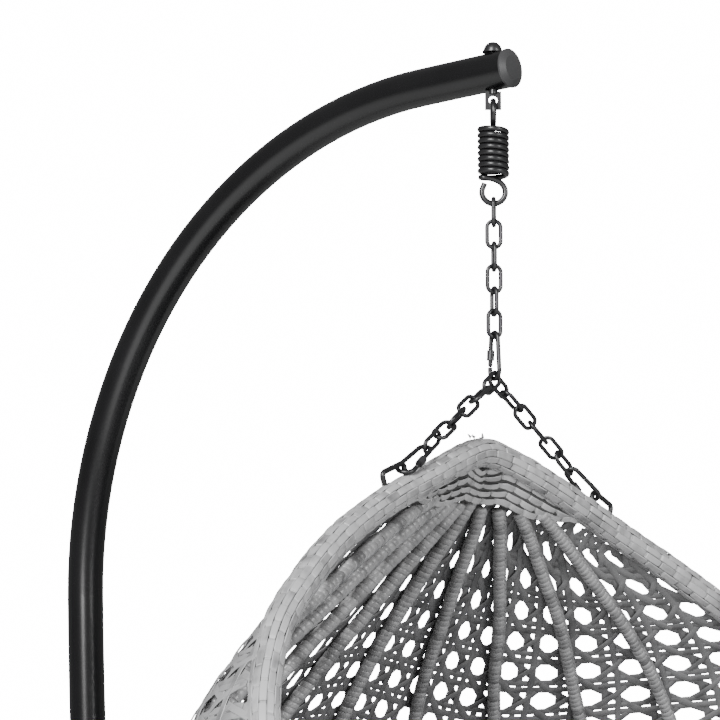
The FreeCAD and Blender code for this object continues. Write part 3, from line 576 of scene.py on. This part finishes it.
def make_header(lattice):
    """The weave between the top of the rim and the heads of the ribs, with its loose ends, over near-black
    strips that are painted shade.
    """
    rng = random.Random(19)
    builder = Builder()
    widest = lattice.edge.argmax() + 1
    for row, (offset, reach, lift) in enumerate(HEADER_ROWS):
        count = int(2 * reach / BRICK_SPACING)
        wide = np.linspace(-reach, reach, count)
        tuck = (np.abs(wide) / reach) ** 6
        out = np.sqrt(wide**2 + 0.026**2)
        rim_level = np.interp(out, lattice.edge[:widest], lattice.long[:widest])
        long = rim_level - 0.012 + offset * (1 - 0.35 * tuck)
        across, places, _ = lattice.find(wide, np.maximum(long, 0))
        inward = shell_normals(across, places)
        base = shell(across, places) + inward * (lift * (1 - 0.5 * tuck))[:, None]

        def place(height, base=base, inward=inward):
            return base + inward * height, inward

        brick_row(rng, builder, place, count, 0.028, 0.5 * row + 0.2, 0.0090, 0.0020, False)
        # A wide strip behind each row in the near-black core colour: painted shade that shows through the
        # gaps of the weave.
        flat_strand(builder, base - inward * 0.0035, inward, 0.015, 0.004, slots=[1] * len(STRAND_OUTLINE))
    for _ in range(5):
        start = np.array([rng.uniform(-0.026, 0.000), 0.016 + rng.uniform(-0.006, 0.006), 1.4735])
        run = np.array([rng.uniform(-0.9, -0.2), rng.uniform(-0.3, 0.3), rng.uniform(0.15, 0.55)])
        steps = np.linspace(0, 1, 6)[:, None] * rng.uniform(0.006, 0.011)
        points = start + unit(run) * steps - np.array([0, 0, 1.0]) * steps**2 * 12
        facing = np.tile(unit(np.array([rng.uniform(-1, 1), -1.0, rng.uniform(-0.4, 0.4)])), (6, 1))
        flat_strand(builder, points, facing, np.linspace(0.0046, 0.0016, 6), 0.0007)
    builder.build("header_weave", "basket", "wicker_light", [RIM_WICKER_PAINTED_LIGHT, CORE_PAINTED_SHADE])


def warp(column, down, lattice):
    """Real lengths over the shell at a column number and a distance down the net's own lattice.

    The columns fan out with the shell, wider apart toward the rims. The rows sag away from the
    middle line and rise again beside the rims.
    """
    count = np.abs(column)
    share = 0.0375 * count + 0.0135 * np.log1p(np.exp((count - 5.2) / 0.7))
    edge = np.interp(np.clip(down, 0.08, 0.45), lattice.long, lattice.edge)
    middle = np.interp(0.23, lattice.long, lattice.edge)
    wide = np.sign(column) * share * (edge / middle) ** 0.65
    out = np.abs(wide)
    sag = 0.008 * np.log(np.cosh(out / 0.04)) - 0.0128 * np.log1p(np.exp((out - 0.27) / 0.04))
    return wide, down + sag


def make_net(lattice):
    """Octagonal cane: upright and level pairs with a strand of each diagonal between them."""
    rng = random.Random(3)
    cell = 0.0460
    pair_w, pair_h = 0.14, 0.0058
    width, sheet = 0.0098, 0.0011
    columns = 16
    column_shift, row_shift = 0.28, 0.44
    top, low_end = -0.04, lattice.long[-1] + 0.06
    step = 0.0055
    # Slot 0, the darker copy as painted shade, on the top faces, which face into the basket; slot 1, the
    # lighter copy as painted light, on the sides and underside.
    inside_shade_slots = [0, 0, 0, 0, 1, 1, 1]
    panels = {name: Builder() for name in ("upright", "level", "rising", "falling")}

    def lay(panel, x, y, height):
        wide, long = warp(x, y, lattice)
        across, places, good = lattice.find(wide, long)
        normals = shell_normals(across, places)
        path = shell(across, places) + normals * height[:, None]
        edges = np.flatnonzero(np.diff(np.concatenate([[0], good.astype(int), [0]])))
        for begin, end in zip(edges[::2], edges[1::2]):
            if end - begin > 3:
                own = width * rng.uniform(0.90, 1.06)
                start = rng.uniform(0, 40)
                run, facing = path[begin:end], normals[begin:end]
                flat_strand(panels[panel], run, facing, own, sheet, 0.25, slots=inside_shade_slots, start=start)

    def drift(count, size):
        knots = np.array([rng.uniform(-size, size) for _ in range(count // 7 + 3)])
        return np.interp(np.arange(count) / 7.0, np.arange(len(knots)), knots)

    for column in range(-columns, columns + 1):
        for sign in (-1, 1):
            y = np.arange(top, low_end, step)
            own = rng.uniform(-0.016, 0.016)
            x = column + column_shift + sign * pair_w + own + drift(len(y), 0.022)
            ripple = 0.0004 * np.cos(2 * np.pi * y / cell)
            lay("upright", x, y, sign * (0.0011 + ripple))
    rows = range(int(top / cell) - 1, int(low_end / cell) + 1)
    for row in rows:
        for sign in (-1, 1):
            x = np.arange(-columns, columns, step * 24)
            own = rng.uniform(-0.0006, 0.0006)
            y = (row + row_shift) * cell + sign * pair_h + own + drift(len(x), 0.0009)
            lay("level", x, y, 0.00015 * sign * np.cos(2 * np.pi * x))
    run = np.arange(-columns, columns, step * 16)
    spare = columns + 2
    for index in range(rows[0] - spare, rows[-1] + spare + 1):
        for name, sign in (("rising", -1), ("falling", 1)):
            base = (index + row_shift + 0.5) * cell + rng.uniform(-0.0008, 0.0008)
            y = base + sign * (run - column_shift) * cell + drift(len(run), 0.0008)
            mine = (y > top) & (y < low_end)
            if mine.sum() > 4:
                wave = np.cos(2 * np.pi * (run[mine] - column_shift - 0.5))
                lay(name, run[mine], y[mine], -sign * 0.0011 * (0.5 - 1.5 * wave))
    for name, builder in panels.items():
        replaces = ["basket_net"] if name == "upright" else []
        builder.build(f"net_{name}", "basket", "wicker_net", [NET_INSIDE_PAINTED_SHADE, NET_OUTSIDE_PAINTED_LIGHT], replaces)


# The cushions


def points_of(mesh):
    """A mesh's points as an array."""
    points = np.empty(len(mesh.vertices) * 3)
    mesh.vertices.foreach_get("co", points)
    return points.reshape(-1, 3)


def baked(piece):
    """A new mesh with the piece's modifiers applied."""
    return bpy.data.meshes.new_from_object(piece.evaluated_get(bpy.context.evaluated_depsgraph_get()))


VOXEL = 0.0060
CLOTH_FRAMES = 20
CLOTH_CAP = 0.024


def stuffed(name, node_name, turn, shrink):
    """One cushion: the CAD block made a little smaller and remeshed, then blown up as cloth."""
    source = frame["nodes"][node_name]
    mesh = source.data.copy()
    mesh.transform(source.matrix_world)
    points = points_of(mesh)
    middle = (points.min(axis=0) + points.max(axis=0)) / 2
    axes = np.array(turn.to_matrix())
    local = (points - middle) @ axes * shrink
    mesh.vertices.foreach_set("co", (local @ axes.T + middle).ravel())
    mesh.materials.clear()
    mesh.materials.append(FABRIC)
    piece = bpy.data.objects.new(name, mesh)
    bpy.context.collection.objects.link(piece)
    remesh = piece.modifiers.new("even", "REMESH")
    remesh.mode = "VOXEL"
    remesh.voxel_size = VOXEL
    piece.data = baked(piece)
    piece.modifiers.clear()
    start = points_of(piece.data)
    swell = piece.modifiers.new("swell", "CLOTH")
    swell.settings.quality = 4
    swell.settings.mass = 0.3
    swell.settings.tension_stiffness = 12
    swell.settings.compression_stiffness = 8
    swell.settings.bending_stiffness = 1.2
    swell.settings.use_pressure = True
    swell.settings.uniform_pressure_force = 4.0
    swell.settings.effector_weights.gravity = 0.0
    swell.collision_settings.use_collision = False
    for step in range(1, CLOTH_FRAMES + 1):
        bpy.context.scene.frame_set(step)
    blown = baked(piece)
    moved = points_of(blown) - start
    far = np.linalg.norm(moved, axis=1, keepdims=True)
    start = start + moved * np.minimum(1, CLOTH_CAP / np.maximum(far, 1e-9))
    piece.modifiers.clear()
    bpy.context.scene.frame_set(1)
    piece.data.vertices.foreach_set("co", start.ravel())
    smooth = piece.modifiers.new("smooth", "SUBSURF")
    smooth.levels = 1
    piece.data = baked(piece)
    piece.modifiers.clear()
    piece.data.shade_smooth()
    piece.data.materials.clear()
    piece.data.materials.append(FABRIC)
    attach(piece, "basket")
    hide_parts(node_name)
    return middle, axes, start


def piping(name, middle, axes, skin, flat):
    """The sewn cord round a cushion's edge. flat is the cushion's thin direction, 1 for Y and 2 for Z."""
    local = (skin - middle) @ axes
    first, second = (0, 2) if flat == 1 else (0, 1)
    near = local[np.abs(local[:, flat]) < 0.008]
    angle = np.arctan2(near[:, second], near[:, first])
    reach = np.hypot(near[:, first], near[:, second])
    bins = 160
    which = ((angle + np.pi) / (2 * np.pi) * bins).astype(int) % bins
    groups = [reach[which == index] for index in range(bins)]
    radius = np.array([group.max() if len(group) else np.nan for group in groups])
    known = ~np.isnan(radius)
    radius = np.interp(np.arange(bins), np.arange(bins)[known], radius[known])
    turn = (np.arange(bins) + 0.5) / bins * 2 * np.pi - np.pi
    outline = np.zeros((bins, 3))
    outline[:, first] = np.cos(turn) * (radius + 0.001)
    outline[:, second] = np.sin(turn) * (radius + 0.001)
    for _ in range(2):
        outline = (np.roll(outline, 1, axis=0) + 2 * outline + np.roll(outline, -1, axis=0)) / 4
    path = even_path(outline, 0.006, closed=True) @ axes.T + middle
    along = tangents(path, True)
    out = unit(path - middle - along * np.sum((path - middle) * along, axis=1, keepdims=True))
    up = np.cross(along, out)
    turns = np.linspace(0, 2 * np.pi, 9)[:-1]
    rings = np.stack([path + (out * math.cos(t) + up * math.sin(t)) * 0.0042 for t in turns], axis=1)
    builder = Builder()
    builder.sweep(rings, True)
    builder.build(name, "basket", "cushion_fabric", [FABRIC])


def make_cushions():
    """The seat cushion and the two back cushions, each with piping round its edge."""
    turn = Euler((math.radians(3), 0, 0)).to_quaternion()
    middle, axes, skin = stuffed("seat_pad", "seat_cushion", turn, (0.955, 0.935, 0.80))
    piping("seat_pad_piping", middle, axes, skin, 2)
    for side, label in ((-1, "left"), (1, "right")):
        turn = Euler((math.radians(-12), 0, math.radians(-24 * side))).to_quaternion()
        node_name = f"back_cushion_{label}"
        middle, axes, skin = stuffed(f"back_pad_{label}", node_name, turn, (0.93, 0.80, 0.93))
        piping(f"back_pad_{label}_piping", middle, axes, skin, 1)


make_rim()
make_ribs()
LATTICE = Lattice()
make_header(LATTICE)
make_net(LATTICE)
make_cushions()


# Camera, lights and floor


def area_light(name, place, aim, size, power):
    """A soft panel light."""
    lamp = bpy.data.lights.new(name, "AREA")
    lamp.shape = "RECTANGLE"
    lamp.size, lamp.size_y = size
    lamp.energy = power
    holder = bpy.data.objects.new(name, lamp)
    holder.location = place
    holder.rotation_euler = (Vector(aim) - Vector(place)).to_track_quat("-Z", "Y").to_euler()
    bpy.context.collection.objects.link(holder)


def set_stage():
    """A plain pale floor, a white surround, soft lights and the camera."""
    bpy.ops.mesh.primitive_plane_add(size=60, location=(0, 0, -0.0005))
    floor = bpy.context.object
    floor.name = "floor"
    material, tree, shader = tree_for("floor")
    shader.inputs["Roughness"].default_value = 0.9
    tint = node(tree, "ShaderNodeTexNoise", Scale=2.0)
    shade = ramp(tree, tint.outputs["Fac"], (0.78, 0.78, 0.78), (0.82, 0.82, 0.82))
    tree.links.new(shade, shader.inputs["Base Color"])
    floor.data.materials.append(material)
    world = bpy.data.worlds.new("surround")
    world.use_nodes = True
    tree = world.node_tree
    tree.nodes["Background"].inputs["Color"].default_value = (1, 1, 1, 1)
    seen = node(tree, "ShaderNodeLightPath")
    strength = node(tree, "ShaderNodeMapRange", **{"To Min": 0.24, "To Max": 16.0})
    tree.links.new(seen.outputs["Is Camera Ray"], strength.inputs["Value"])
    tree.links.new(strength.outputs["Result"], tree.nodes["Background"].inputs["Strength"])
    bpy.context.scene.world = world
    area_light("key", (-4.2, -1.2, 3.4), (0, 0, 1.3), (1.3, 2.6), 470)
    area_light("front", (-0.8, -4.8, 2.6), (0, 0, 1.2), (1.2, 2.6), 190)
    lens = bpy.data.cameras.new("camera")
    lens.lens = 170.15
    lens.sensor_width = 36
    lens.clip_start = 0.1
    lens.clip_end = 200
    camera = bpy.data.objects.new("camera", lens)
    camera.location = (-3.5186, -2.5296, 0.943)
    pitch = math.radians(8.3)
    look = Vector((0.7880 * math.cos(pitch), 0.6157 * math.cos(pitch), math.sin(pitch)))
    camera.rotation_euler = look.to_track_quat("-Z", "Y").to_euler()
    bpy.context.collection.objects.link(camera)
    bpy.context.scene.camera = camera


set_stage()
